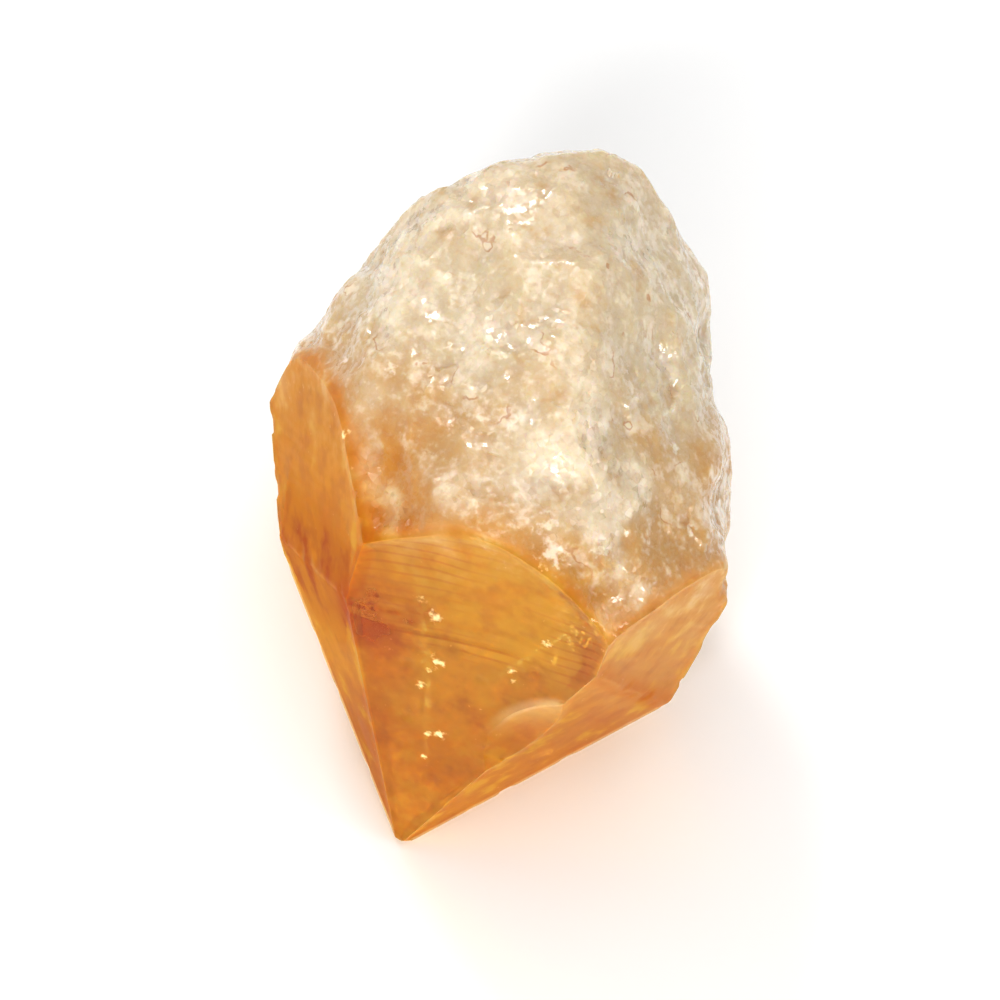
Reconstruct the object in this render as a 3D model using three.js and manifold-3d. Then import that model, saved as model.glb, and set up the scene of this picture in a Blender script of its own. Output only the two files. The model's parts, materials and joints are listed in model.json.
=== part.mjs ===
// A single citrine crystal point: a six-sided quartz termination on a short, widening body that
// tapers to the broken root by which it once grew on its crust. One natural solid.
//
// Crystal axes used while shaping: Y runs along the c-axis from the tip (origin) to the root, X
// points to the crystal's right and Z to its upper side. An azimuth is measured about the c-axis,
// from X towards Z. The finished crystal is turned to lie on its lowest termination face.
// Millimetres; in the finished part +Z is up and the tip points to -Y.
import * as THREE from "three";
import { mergeVertices } from "three/addons/utils/BufferGeometryUtils.js";
import Module from "manifold-3d";

const wasm = await Module();
wasm.setup();

// Driving dimensions
const CRYSTAL_LENGTH = 37.2; // tip to the last splinter of the root, along the c-axis
const FACE_SLOPE = 38.2; // degrees between a termination face of quartz and its c-axis
const SHOULDER_HEIGHT = 12.3; // where the smaller termination faces meet the prism
const BODY_START = -1.0; // the rough body begins this far in front of the tip, then is cut back
const CHIP_RADIUS = 9.0; // of the shallow shell-shaped chip on the ridge by the right face
const CHIP_DEPTH = 0.7;
const CHIP_FROM_TIP = 11.9; // middle of the chip, along the ridge
const SQUARENESS = 2.5; // 2 makes each quarter of the body's outline an ellipse, more a squarer one
const BODY_COLUMNS = 72; // steps around the rough body
const BODY_ROWS = 56; // steps along it
const CUTTER_SIZE = 90; // edge of the block that stands for all the space beyond a face
const CHIP_STEPS = 64; // steps around the ball that cuts the chip
const MERGE_DISTANCE = 1e-4;

// The rough body before any face is cut: how far it reaches from its spine to the right, up, left
// and down, at stations along the c-axis. The spine drifts left and down towards the root.
const STATIONS = [-1, 15.5, 18, 20.5, 23.5, 27.5, 31, 33.5, 35.8, CRYSTAL_LENGTH];
const REACH_RIGHT = [10.9, 10.9, 11.1, 10.3, 9.2, 8.4, 7.6, 6.2, 4.0, 1.2];
const REACH_UP = [13.7, 13.7, 13.8, 13.5, 12.6, 10.9, 9.0, 6.8, 4.4, 1.4];
const REACH_LEFT = [13.9, 13.9, 14.1, 13.1, 11.6, 10.4, 9.2, 6.2, 3.4, 1.0];
const REACH_DOWN = [12.4, 12.4, 12.2, 11.4, 10.0, 8.0, 6.0, 4.4, 2.8, 1.0];
const SPINE_X = [0, 0, 0, -0.2, -0.8, -1.7, -2.4, -2.9, -3.2, -3.3];
const SPINE_Z = [0, 0, 0, 0, -0.1, -0.3, -0.6, -0.8, -0.9, -1.0];

// Hummocks of the broken surface: height, waves around, waves along (radians per mm), start.
const HUMMOCKS = [
  { height: 0.34, around: 3, along: 0.55, start: 0.4 },
  { height: 0.26, around: 5, along: -0.8, start: 1.9 },
  { height: 0.18, around: 2, along: 1.7, start: 4.1 },
  { height: 0.14, around: 8, along: 1.1, start: 2.6 },
];
const HUMMOCK_FULL_REACH = 6; // hummocks shrink where the body reaches less far than this

// Every flat on the crystal: it faces the given azimuth, leans by so many degrees towards the root
// (negative towards the tip), and passes through a point at a radius and height on that azimuth.
// First the faces the crystal grew with, round the tip and then round the shoulders.
const termination = (azimuth, radius = 0) => ({ azimuth, lean: -FACE_SLOPE, radius, height: 0 });
const body = (azimuth, lean, radius) => ({ azimuth, lean, radius, height: SHOULDER_HEIGHT });
const UPPER_FACE = termination(90);
const RIGHT_FACE = { azimuth: 21, lean: -37.2, radius: 0, height: 0 };
const GROWTH_FACES = [
  UPPER_FACE,
  RIGHT_FACE,
  termination(150),
  termination(210, -0.2),
  termination(-30, 0.35),
  termination(-90), // the face that the crystal lies on
  body(150, -19, 9.7), // left shoulder, flaring
  body(186, -27, 10.6), // left flank
  body(16.4, -16.5, 9.24), // right shoulder, flaring
  body(-24, 2, 9.7), // right flank
];

// The flats it broke along when it was split off its crust: upper side, left, under side, right.
const FRACTURES = [
  { azimuth: 20, lean: 44, radius: 8.0, height: 27.0 },
  { azimuth: 38, lean: 30, radius: 9.8, height: 23.0 },
  { azimuth: 74, lean: 14, radius: 13.5, height: 20.5 },
  { azimuth: 84, lean: 38, radius: 10.4, height: 29.3 },
  { azimuth: 112, lean: 24, radius: 12.6, height: 22.5 },
  { azimuth: 124, lean: 3, radius: 13.0, height: 17.5 },
  { azimuth: 146, lean: 12, radius: 12.2, height: 24.0 },
  { azimuth: 170, lean: 60, radius: 9.6, height: 32.2 },
  { azimuth: 176, lean: 9, radius: 12.6, height: 25.0 },
  { azimuth: 205, lean: 30, radius: 9.8, height: 27.0 },
  { azimuth: 240, lean: 26, radius: 10.2, height: 22.5 },
  { azimuth: 262, lean: 48, radius: 5.8, height: 30.0 },
  { azimuth: 285, lean: 34, radius: 9.8, height: 22.0 },
  { azimuth: 325, lean: 22, radius: 9.2, height: 20.5 },
  { azimuth: 350, lean: 52, radius: 4.4, height: 32.0 },
];

// The value of a list of station values at a height, on straight lines between the stations.
function atHeight(values, height) {
  const interpolant = new THREE.LinearInterpolant(STATIONS, values, 1);
  return interpolant.evaluate(height)[0];
}

// How far the rough body reaches from its spine: a squarish quarter ellipse between each two of
// the four reaches, with hummocks on it.
function bodyReach(angle, height) {
  const acrossReach = atHeight(Math.cos(angle) > 0 ? REACH_RIGHT : REACH_LEFT, height);
  const upDownReach = atHeight(Math.sin(angle) > 0 ? REACH_UP : REACH_DOWN, height);
  const across = Math.abs(Math.cos(angle) / acrossReach) ** SQUARENESS;
  const upDown = Math.abs(Math.sin(angle) / upDownReach) ** SQUARENESS;
  const smooth = (across + upDown) ** (-1 / SQUARENESS);
  const hummocks = HUMMOCKS.reduce(
    (sum, h) => sum + h.height * Math.sin(h.around * angle + h.along * height + h.start),
    0,
  );
  return smooth + hummocks * Math.min(1, smooth / HUMMOCK_FULL_REACH);
}

// The rough body: a blank turned about the c-axis, then pushed out or in to its true outline.
function roughBody() {
  const profile = [new THREE.Vector2(0, BODY_START)];
  for (let row = 0; row < BODY_ROWS; row++) {
    const share = row / (BODY_ROWS - 1);
    profile.push(new THREE.Vector2(1, THREE.MathUtils.lerp(BODY_START, CRYSTAL_LENGTH, share)));
  }
  profile.push(new THREE.Vector2(0, CRYSTAL_LENGTH));
  const blank = new THREE.LatheGeometry(profile, BODY_COLUMNS);
  const position = blank.getAttribute("position");
  for (let i = 0; i < position.count; i++) {
    const height = position.getY(i);
    const angle = Math.atan2(position.getZ(i), position.getX(i));
    const onAxis = Math.hypot(position.getX(i), position.getZ(i)) < MERGE_DISTANCE;
    const reach = onAxis ? 0 : bodyReach(angle, height);
    position.setX(i, atHeight(SPINE_X, height) + reach * Math.cos(angle));
    position.setZ(i, atHeight(SPINE_Z, height) + reach * Math.sin(angle));
  }
  return blank;
}

// The direction that a face looks in.
function outwardFrom({ azimuth, lean }) {
  const turn = THREE.MathUtils.degToRad(azimuth);
  const tilt = THREE.MathUtils.degToRad(lean);
  return new THREE.Vector3(
    Math.cos(tilt) * Math.cos(turn),
    Math.sin(tilt),
    Math.cos(tilt) * Math.sin(turn),
  );
}

// A block that fills the space beyond a face, with one side lying on it.
function beyond(face) {
  const turn = THREE.MathUtils.degToRad(face.azimuth);
  const block = new THREE.BoxGeometry(CUTTER_SIZE, CUTTER_SIZE, CUTTER_SIZE);
  block.translate(0, CUTTER_SIZE / 2, 0);
  block.applyQuaternion(
    new THREE.Quaternion().setFromUnitVectors(new THREE.Vector3(0, 1, 0), outwardFrom(face)),
  );
  return block.translate(face.radius * Math.cos(turn), face.height, face.radius * Math.sin(turn));
}

// The ball that scoops the chip out of the ridge between two faces through the tip: it stands out
// over the ridge, square between the two faces, and dips into it by the chip's depth.
function chipBall(face, neighbour) {
  const outward = outwardFrom(face);
  const otherOutward = outwardFrom(neighbour);
  const alongRidge = new THREE.Vector3().crossVectors(outward, otherOutward).normalize();
  alongRidge.multiplyScalar(Math.sign(alongRidge.y) * CHIP_FROM_TIP);
  const between = outward.add(otherOutward).normalize();
  const middle = alongRidge.addScaledVector(between, CHIP_RADIUS - CHIP_DEPTH);
  const ball = new THREE.SphereGeometry(CHIP_RADIUS, CHIP_STEPS, CHIP_STEPS / 2);
  return ball.translate(middle.x, middle.y, middle.z);
}

// A closed three.js geometry as a solid that can be cut, and back again.
function solidOf(geometry) {
  const bare = geometry.clone();
  bare.deleteAttribute("normal");
  bare.deleteAttribute("uv");
  const merged = mergeVertices(bare, MERGE_DISTANCE);
  return new wasm.Manifold(
    new wasm.Mesh({
      numProp: 3,
      vertProperties: merged.getAttribute("position").array,
      triVerts: new Uint32Array(merged.index.array),
    }),
  );
}

function geometryOf(solid) {
  const { vertProperties, triVerts } = solid.getMesh();
  const geometry = new THREE.BufferGeometry();
  geometry.setAttribute("position", new THREE.BufferAttribute(vertProperties, 3));
  geometry.setIndex(new THREE.BufferAttribute(triVerts, 1));
  geometry.computeVertexNormals();
  return geometry;
}

// The crystal: the rough body cut back to every growth face and fracture in turn, then chipped.
function crystalGeometry() {
  const cut = (solid, face) => solid.subtract(solidOf(beyond(face)));
  const flatted = [...GROWTH_FACES, ...FRACTURES].reduce(cut, solidOf(roughBody()));
  return geometryOf(flatted.subtract(solidOf(chipBall(UPPER_FACE, RIGHT_FACE))));
}

const citrine = new THREE.MeshStandardMaterial({
  color: 0xe08a2c,
  roughness: 0.25,
  metalness: 0,
  flatShading: true,
});

// The crystal lies on its lowest termination face, so its c-axis rises by the slope of that face.
const crystal = new THREE.Mesh(crystalGeometry(), citrine);
crystal.name = "crystal_point";
crystal.rotation.x = THREE.MathUtils.degToRad(FACE_SLOPE);

// The part's origin is the middle of the crystal's footprint box, on the surface it lies on.
const extent = new THREE.Box3().setFromObject(crystal, true);
const middle = extent.getCenter(new THREE.Vector3());
crystal.position.set(-middle.x, -middle.y, -extent.min.z);

const part = new THREE.Group();
part.add(crystal);

export default part;
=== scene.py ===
# %% [markdown]
# # A citrine crystal point, built as surfaces
# The object is one loose quartz crystal: a clear orange six-sided point that turns milky
# towards the rough root by which it grew on its crust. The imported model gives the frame, and
# everything here is placed by it. We cut the crystal out of formulas, give it a clear and a
# milky finish that blend into each other, and seal a few healed cracks inside.

import json
import math

import bpy
import numpy as np
from mathutils import Matrix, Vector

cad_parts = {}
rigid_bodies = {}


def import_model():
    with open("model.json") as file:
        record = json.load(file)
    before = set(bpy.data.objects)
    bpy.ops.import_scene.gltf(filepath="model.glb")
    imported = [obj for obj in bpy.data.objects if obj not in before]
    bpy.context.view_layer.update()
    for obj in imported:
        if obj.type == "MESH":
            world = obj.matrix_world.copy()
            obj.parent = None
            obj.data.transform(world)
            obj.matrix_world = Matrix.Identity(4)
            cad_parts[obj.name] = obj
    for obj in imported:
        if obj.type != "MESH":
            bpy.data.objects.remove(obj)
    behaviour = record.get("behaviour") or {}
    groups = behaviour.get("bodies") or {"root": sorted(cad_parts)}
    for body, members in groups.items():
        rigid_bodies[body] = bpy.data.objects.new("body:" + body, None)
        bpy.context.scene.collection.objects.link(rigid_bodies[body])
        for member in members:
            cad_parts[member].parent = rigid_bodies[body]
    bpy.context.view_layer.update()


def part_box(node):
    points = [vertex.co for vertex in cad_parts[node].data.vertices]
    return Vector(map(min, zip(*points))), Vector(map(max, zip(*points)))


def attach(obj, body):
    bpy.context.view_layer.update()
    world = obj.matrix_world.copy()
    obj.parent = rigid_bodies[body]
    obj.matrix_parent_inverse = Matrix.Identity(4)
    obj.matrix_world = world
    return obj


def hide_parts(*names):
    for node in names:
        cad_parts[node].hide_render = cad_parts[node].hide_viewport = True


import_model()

# %% [markdown]
# ## The crystal's own axes
# A crystal is easiest to describe upright: x to the right, y up the long axis from the tip,
# z to the front. All of its sizes are in millimetres in those axes. The finished stone lies
# on its lowest tip face, so at the end every point is turned by the slope of that face.

# %% Sizes of the rough body
MM = 0.001
FACE_SLOPE = 38.2  # degrees between a tip face of quartz and the long axis
STATIONS = [-1, 15.5, 18, 20.5, 23.5, 27.5, 31, 33.5, 35.8, 37.2]
REACH_RIGHT = [10.9, 10.9, 11.1, 10.3, 9.2, 8.4, 7.6, 6.2, 4.0, 1.2]
REACH_UP = [13.7, 13.7, 13.8, 13.5, 12.6, 10.9, 9.0, 6.8, 4.4, 1.4]
REACH_LEFT = [13.9, 13.9, 14.1, 13.1, 11.6, 10.4, 9.2, 6.2, 3.4, 1.0]
REACH_DOWN = [12.4, 12.4, 12.2, 11.4, 10.0, 8.0, 6.0, 4.4, 2.8, 1.0]
SPINE_X = [0, 0, 0, -0.2, -0.8, -1.7, -2.4, -2.9, -3.2, -3.3]
SPINE_Z = [0, 0, 0, 0, -0.1, -0.3, -0.6, -0.8, -0.9, -1.0]
SQUARENESS = 2.5  # 2 makes each quarter an ellipse, more a squarer one
HUMMOCKS = [  # height, waves around, waves along, start
    (0.34, 3, 0.55, 0.4), (0.26, 5, -0.8, 1.9), (0.18, 2, 1.7, 4.1), (0.14, 8, 1.1, 2.6),
]
HUMMOCK_FULL_REACH = 6.0  # hummocks shrink where the body reaches less far than this


def spine(height):
    """The middle line of the body: straight lines between the stations."""
    return np.stack([np.interp(height, STATIONS, SPINE_X), height,
                     np.interp(height, STATIONS, SPINE_Z)], -1)


def body_reach(angle, height):
    """How far the rough body reaches from its spine at an angle round it.
    Each quarter is a squarish ellipse, (|cos/across|^s + |sin/up|^s)^(-1/s), plus sine hummocks."""
    right, left = (np.interp(height, STATIONS, r) for r in (REACH_RIGHT, REACH_LEFT))
    up, down = (np.interp(height, STATIONS, r) for r in (REACH_UP, REACH_DOWN))
    across = np.where(np.cos(angle) > 0, right, left)
    upright = np.where(np.sin(angle) > 0, up, down)
    smooth = (np.abs(np.cos(angle) / across) ** SQUARENESS
              + np.abs(np.sin(angle) / upright) ** SQUARENESS) ** (-1 / SQUARENESS)
    hummocks = sum(size * np.sin(around * angle + along * height + start)
                   for size, around, along, start in HUMMOCKS)
    return smooth + hummocks * np.minimum(1, smooth / HUMMOCK_FULL_REACH)


print("rough body:", STATIONS[-1], "mm long,", len(STATIONS), "stations")

# %% [markdown]
# ## The flats
# A flat is a plane that cuts the body: it looks towards an azimuth about the long axis, leans
# towards the root (negative towards the tip), and passes through a radius at a height. The
# first ten grew with the crystal, the rest broke when it was split off. Everything that is
# inside all the planes and inside the rough body is crystal.

# %% Planes of the growth faces and of the breaks
GROWTH_FACES = [  # azimuth, lean, radius, height
    (90, -38.2, 0, 0),  # the broad upper face
    (21, -37.2, 0, 0),  # the long right face
    (150, -38.2, 0, 0),  # the narrow left face
    (210, -38.2, -0.2, 0),
    (-30, -38.2, 0.35, 0),
    (-90, -38.2, 0, 0),  # the face it lies on
    (150, -19, 9.7, 12.3),  # left shoulder
    (186, -27, 10.6, 12.3),  # left flank
    (16.4, -16.5, 9.24, 12.3),  # right shoulder
    (-24, 2, 9.7, 12.3),  # right flank
]
FRACTURES = [
    (20, 44, 8.0, 27.0), (38, 30, 9.8, 23.0), (74, 14, 13.5, 20.5), (84, 38, 10.4, 29.3),
    (112, 24, 12.6, 22.5), (124, 3, 13.0, 17.5), (146, 12, 12.2, 24.0), (170, 60, 9.6, 32.2),
    (176, 9, 12.6, 25.0), (205, 30, 9.8, 27.0), (240, 26, 10.2, 22.5), (262, 48, 5.8, 30.0),
    (285, 34, 9.8, 22.0), (325, 22, 9.2, 20.5), (350, 52, 4.4, 32.0),
]
UPPER, RIGHT, LEFT, LOWER_LEFT, LOWER_RIGHT = range(5)  # places in the list above
SHOULDER_LEFT, SHOULDER_RIGHT = 6, 8
BROKEN = len(GROWTH_FACES)  # the number that marks the broken skin, all breaks together
CHIP = BROKEN + 1
CHIP_RADIUS, CHIP_DEPTH, CHIP_FROM_TIP = 9.0, 0.7, 11.9
BREAK_ROUNDING = 0.3  # of the ridges between the breaks


def planes(rows):
    """Each row's outward normal, and the plane's distance from the tip along that normal."""
    azimuth, lean, radius, height = np.array(rows, float).T
    azimuth, lean = np.radians(azimuth), np.radians(lean)
    normal = np.stack([np.cos(lean) * np.cos(azimuth), np.sin(lean),
                       np.cos(lean) * np.sin(azimuth)], -1)
    through = np.stack([radius * np.cos(azimuth), height, radius * np.sin(azimuth)], -1)
    return normal, (normal * through).sum(-1)


NORMALS, OFFSETS = planes(GROWTH_FACES + FRACTURES)
ridge = np.cross(NORMALS[UPPER], NORMALS[RIGHT])
ridge *= np.sign(ridge[1]) / np.linalg.norm(ridge)
between = NORMALS[UPPER] + NORMALS[RIGHT]
between /= np.linalg.norm(between)
CHIP_MIDDLE = ridge * CHIP_FROM_TIP + between * (CHIP_RADIUS - CHIP_DEPTH)
print("flats:", len(OFFSETS), "- chip ball centre:", np.round(CHIP_MIDDLE, 2).tolist())


def outside(place, rounding=BREAK_ROUNDING):
    """How far each place is beyond each growth face, beyond the broken skin, and inside the ball
    that scoops the chip; the crystal is where all of them are below nought. The breaks and the
    rough body are joined by a soft maximum, rounding * log(sum(exp(distance / rounding))), which
    rounds the ridges between them inwards."""
    beyond_planes = place @ NORMALS.T - OFFSETS
    away = place - spine(place[..., 1])
    angle = np.arctan2(away[..., 2], away[..., 0])
    beyond_body = np.hypot(away[..., 0], away[..., 2]) - body_reach(angle, place[..., 1])
    breaks = np.concatenate([beyond_planes[..., BROKEN:], beyond_body[..., None]], -1)
    highest = breaks.max(-1)
    spill = np.exp((breaks - highest[..., None]) / rounding).sum(-1)
    broken = highest + rounding * np.log(spill)
    in_chip = CHIP_RADIUS - np.linalg.norm(place - CHIP_MIDDLE, axis=-1)
    return np.concatenate([beyond_planes[..., :BROKEN], np.stack([broken, in_chip], -1)], -1)


# %% [markdown]
# ## Rays from the spine
# The skin of the stone is a grid of two numbers, a row and a column. A row picks a place on the
# spine, and a column a direction round it. Where the ray from that place leaves the crystal, a
# vertex sits. Past the turning height the rays start from one place and climb towards the root,
# so the end closes like the pole of a globe. Halving the ray again and again finds the exit.

# %% The grid of rays
ROWS, COLUMNS = 268, 364
TURN_ROW, TURN_HEIGHT = 160, 23.0  # above this row the rays fan out from one place
TIP_START = 0.34  # just inside the blunt tip
TIP_SHIFT, TIP_SHIFT_AZIMUTH, TIP_SHIFT_END = 0.1, math.radians(30), 1.5  # of its middle
LONGEST_RAY = 30.0
HALVINGS = 34


def ray(row, column):
    """Origin and direction of the ray at a grid place, whole numbers or between them."""
    climb = np.clip((row - TURN_ROW) / (ROWS - 1 - TURN_ROW), 0, 1) * np.pi / 2
    height = TIP_START + np.clip(row / TURN_ROW, 0, 1) * (TURN_HEIGHT - TIP_START)
    around = column / COLUMNS * 2 * np.pi
    direction = np.stack([np.cos(climb) * np.cos(around), np.sin(climb),
                          np.cos(climb) * np.sin(around)], -1)
    shift = TIP_SHIFT * np.clip(1 - height / TIP_SHIFT_END, 0, 1)
    towards = np.array([math.cos(TIP_SHIFT_AZIMUTH), 0, math.sin(TIP_SHIFT_AZIMUTH)])
    return spine(height) + shift[..., None] * towards, direction


def leave(row, column, rounding=BREAK_ROUNDING):
    """Where each ray leaves the shape: the step that spans the exit is halved until it is tiny."""
    origin, direction = ray(row, column)
    near = np.zeros(np.shape(row))
    far = np.full(np.shape(row), LONGEST_RAY)
    for _ in range(HALVINGS):
        middle = (near + far) / 2
        inside = outside(origin + direction * middle[..., None], rounding).max(-1) < 0
        near, far = np.where(inside, middle, near), np.where(inside, far, middle)
    return origin + direction * near[..., None]


# %% [markdown]
# ## Sharp ridges on a grid
# A grid knows nothing of ridges, and a ridge that runs between its vertices comes out as a
# staircase. So wherever two neighbours lie on different flats, the nearer of the two slides
# along the grid until it sits on the ridge. A straight share between the two vertices says
# where: the flats' distances trade places there.

# %% Slide the vertices beside a ridge onto it
def shares_to_ridge(beyond, axis):
    """For each vertex and its next neighbour along an axis: the share of the way at which one
    flat hands over to the other, from 0 to 1, or nan where both are on the same flat."""
    following = np.roll(beyond, -1, axis)
    here, there = beyond.argmax(-1)[..., None], following.argmax(-1)[..., None]
    pick = np.take_along_axis
    lead_here = (pick(beyond, here, -1) - pick(beyond, there, -1))[..., 0]
    lead_there = (pick(following, there, -1) - pick(following, here, -1))[..., 0]
    share = lead_here / np.maximum(lead_here + lead_there, 1e-12)
    return np.where(here[..., 0] == there[..., 0], np.nan, share)


def slides(share, axis):
    """How far each vertex slides along an axis: forward by its own share, or back to the
    crossing behind it, whichever is nearer, and only if that is at most half a step."""
    forward = np.where(share <= 0.5, share, np.nan)
    back = np.roll(share, 1, axis) - 1
    back = np.where(back > -0.5, back, np.nan)
    use_back = np.nan_to_num(np.abs(back), nan=9) < np.nan_to_num(np.abs(forward), nan=9)
    return np.where(use_back, back, forward)


rows, columns = np.meshgrid(np.arange(ROWS, dtype=float), np.arange(COLUMNS, dtype=float),
                            indexing="ij")
skin = leave(rows, columns)
beyond = outside(skin)
along_rows = slides(shares_to_ridge(beyond, 0), 0)
along_rows[[0, 1, -2, -1]] = np.nan
round_columns = slides(shares_to_ridge(beyond, 1), 1)
row_step = np.linalg.norm(np.roll(skin, -1, 0) - skin, axis=-1)
column_step = np.linalg.norm(np.roll(skin, -1, 1) - skin, axis=-1)
row_way = np.nan_to_num(np.abs(along_rows) * row_step, nan=9)
column_way = np.nan_to_num(np.abs(round_columns) * column_step, nan=9)
rows += np.where(row_way < column_way, np.nan_to_num(along_rows), 0)
columns += np.where(column_way <= row_way, np.nan_to_num(round_columns), 0)
skin = leave(rows, columns)
beyond = outside(skin)
print("skin grid:", skin.shape[:2], "- vertices on ridges:",
      int((np.minimum(row_way, column_way) < 9).sum()))

# %% [markdown]
# ## Random patterns that repeat exactly
# Rough quartz needs randomness that gives the same stone on every run. Each cell of a cubic
# lattice gets its random numbers from its own place by whole-number mixing. From these come a
# soft noise, blended between the corners of a cell, and a broken one, made of shell-shaped
# hollows around scattered seeds.

# %% Lattice noise and shell-shaped hollows
def ease(low, high, value):
    """Smooth step from 0 at low to 1 at high: 3t^2 - 2t^3 of the share t of the way."""
    share = np.clip((value - low) / (high - low), 0, 1)
    return share * share * (3 - 2 * share)


def scattered(cell, salt):
    """Three repeatable random numbers from 0 to 1 for each lattice cell: its place is multiplied
    by large primes, the products are mixed bit by bit, and three groups of bits are read off."""
    cell = cell.astype(np.int64)
    mixed = cell[..., 0] * 73856093 ^ cell[..., 1] * 19349663 ^ cell[..., 2] * 83492791
    mixed = (mixed ^ salt * 40503) & 0x7FFFFFFF
    for _ in range(2):
        mixed = (mixed * 1103515245 + 12345) & 0x7FFFFFFF
        mixed = mixed ^ (mixed >> 15)
    return np.stack([mixed & 1023, (mixed >> 10) & 1023, (mixed >> 20) & 1023], -1) / 1023


def soft_noise(place, size, salt):
    """Noise from 0 to 1 with lumps of the given size: the eight corners of the cell, blended by
    the smooth step 3t^2 - 2t^3 along each side."""
    scaled = place / size
    corner = np.floor(scaled)
    share = ease(0, 1, scaled - corner)
    total = 0
    for to_corner in np.ndindex(2, 2, 2):
        weight = np.where(np.array(to_corner) == 1, share, 1 - share).prod(-1)
        total = total + weight * scattered(corner + to_corner, salt)[..., 0]
    return total


def scoops(place, size, salt, hollow, tilt):
    """Shell-shaped hollows round scattered seeds, one in each lattice cell. Each seed offers
    level + slope . way - hollow * way^2, where way is the step from the seed in cell sizes and
    level and slope are random; the highest offer wins, so the hollows meet in sharp creases
    but never in a jump."""
    scaled = place / size
    corner = np.floor(scaled)
    depth = np.full(place.shape[:-1], -99.0)
    for to_cell in np.ndindex(3, 3, 3):
        cell = corner + to_cell - 1
        way = scaled - (cell + scattered(cell, salt))
        slope = (scattered(cell, salt + 1) * 2 - 1) * tilt
        level = 0.5 * scattered(cell, salt + 2)[..., 0]
        depth = np.maximum(depth, level + (way * slope).sum(-1) - hollow * (way * way).sum(-1))
    return depth * size


print("noise at the tip:", round(float(soft_noise(np.zeros(3), 1.0, 1)), 3))

# %% [markdown]
# ## Relief of the growth faces
# A quartz face is not a mirror. The upper face ends in low terraces that follow its arched top
# edge, and small pits dot it. The shoulders carry fine level ridges, as quartz prisms do. All of
# the relief goes inwards, so the stone never grows past its measured size, and it fades out at
# the ridges, which stay crisp.

# %% Terraces, pits and level ridges
TERRACES = [12.4, 13.2, 13.9, 14.5, 15.2, 15.75]  # heights of the terrace edges where x is 0
TERRACE_DROP, TERRACE_EDGE = 0.03, 0.14  # how deep a terrace steps down, and over what width
TERRACE_RISE, TERRACE_BEND = 0.12, 0.012  # each edge climbs to the right, and sags at both ends
TERRACE_TOP = 1.5  # the x at which an edge doesn't sag
SWELLS = [(0.05, 3.1, 11), (0.018, 0.9, 12)]  # depth, size and salt of the faint swells
PITS = [(-1.5, 13.4, 0.42), (-1.6, 11.2, 0.5), (-2.0, 10.2, 0.34), (-1.3, 7.4, 0.5),
        (1.7, 10.8, 0.4), (4.1, 12.4, 0.36), (0.5, 12.0, 0.3), (-3.2, 12.6, 0.3), (2.8, 9.0, 0.26)]
PIT_DEPTH = 0.08
PIT_STRETCH = 1.27  # the face leans, so a step along it is longer than its height
LEVEL_RIDGE_SPACING, LEVEL_RIDGE_DEPTH, LEVEL_BAND_DEPTH = 0.62, 0.022, 0.03


def terrace_level(place):
    """Height with the terraces' climb taken out and their sag put in, plus a little noise."""
    x, y = place[..., 0], place[..., 1]
    return (y - TERRACE_RISE * x + TERRACE_BEND * (x - TERRACE_TOP) ** 2
            + 0.35 * soft_noise(place, 2.3, 13) - 0.18)


def growth_relief(place, face):
    """Depth of the relief in millimetres. Terraces: a smooth step at each level. Pits: cones
    over lobed outlines. Ridges: a saw of the height, plus level bands of noise."""
    x, y = place[..., 0], place[..., 1]
    swell = sum(depth * soft_noise(place, size, salt) for depth, size, salt in SWELLS)
    level = terrace_level(place)
    terraces = sum(TERRACE_DROP * ease(edge, edge + TERRACE_EDGE, level) for edge in TERRACES)
    pits = 0
    for across, height, radius in PITS:
        turn = np.arctan2(y - height, x - across)
        outline = radius * (0.86 + 0.1 * np.cos(3 * turn) + 0.06 * np.sin(5 * turn))
        distance = np.hypot(x - across, (y - height) * PIT_STRETCH)
        pits = pits + PIT_DEPTH * np.clip(1 - distance / outline, 0, 1)
    ridges = (y + 0.35 * soft_noise(place, 1.7, 14)) / LEVEL_RIDGE_SPACING
    bands = ease(0.35, 0.65, soft_noise(place * [0.2, 1, 0.2], 1.1, 15))
    saw = LEVEL_RIDGE_DEPTH * np.abs((ridges % 1) * 2 - 1) + LEVEL_BAND_DEPTH * bands
    upper, shoulder = face == UPPER, (face >= SHOULDER_LEFT) & (face < BROKEN)
    return swell + np.where(upper, terraces + pits, 0) + np.where(shoulder, saw, 0)


print("terraces:", len(TERRACES), "- pits:", len(PITS))


# %% [markdown]
# ## Relief of the broken root
# Where the crystal was split off, the milky quartz broke like hard sugar: soft lumps first, then
# shell-shaped hollows, then small tilted grains that each catch the light on their own. The
# lumps hide the plain planes that the breaks are cut from.

# %% Lumps, hollows and sugar grains
LUMPS = [(0.75, 4.6, 22), (0.3, 1.9, 23)]  # depth, size and salt
HOLLOWS = [(0.16, 3.1, 24, 0.55, 0.35), (0.2, 1.35, 31, 0.6, 0.6)]  # and hollow and tilt
GRAIN_DEPTH, GRAINS = 0.3, (0.62, 51, 0.5, 0.9)  # size, salt, hollow and tilt of the grains
WARP, WARP_SIZE = 0.8, 2.6  # how far, and in what lumps, the hollows are pushed about


def broken_relief(place):
    """Depth in millimetres: soft lumps of two sizes, hollows of two sizes, then grains. The fine
    grains gather in bands, where a third noise is high."""
    warped = place + WARP * (soft_noise(place, WARP_SIZE, 21) - 0.5)[..., None]
    lumps = sum(depth * soft_noise(place, *lump) for depth, *lump in LUMPS)
    hollows = sum(depth * scoops(warped, *hollow) for depth, *hollow in HOLLOWS)
    sugary = 0.25 + 0.75 * ease(0.4, 0.62, soft_noise(place, 3.4, 41))
    return lumps + hollows + GRAIN_DEPTH * sugary * scoops(place, *GRAINS)


print("relief of the break:", len(LUMPS), "lumps,", len(HOLLOWS), "hollows, grains")


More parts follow.
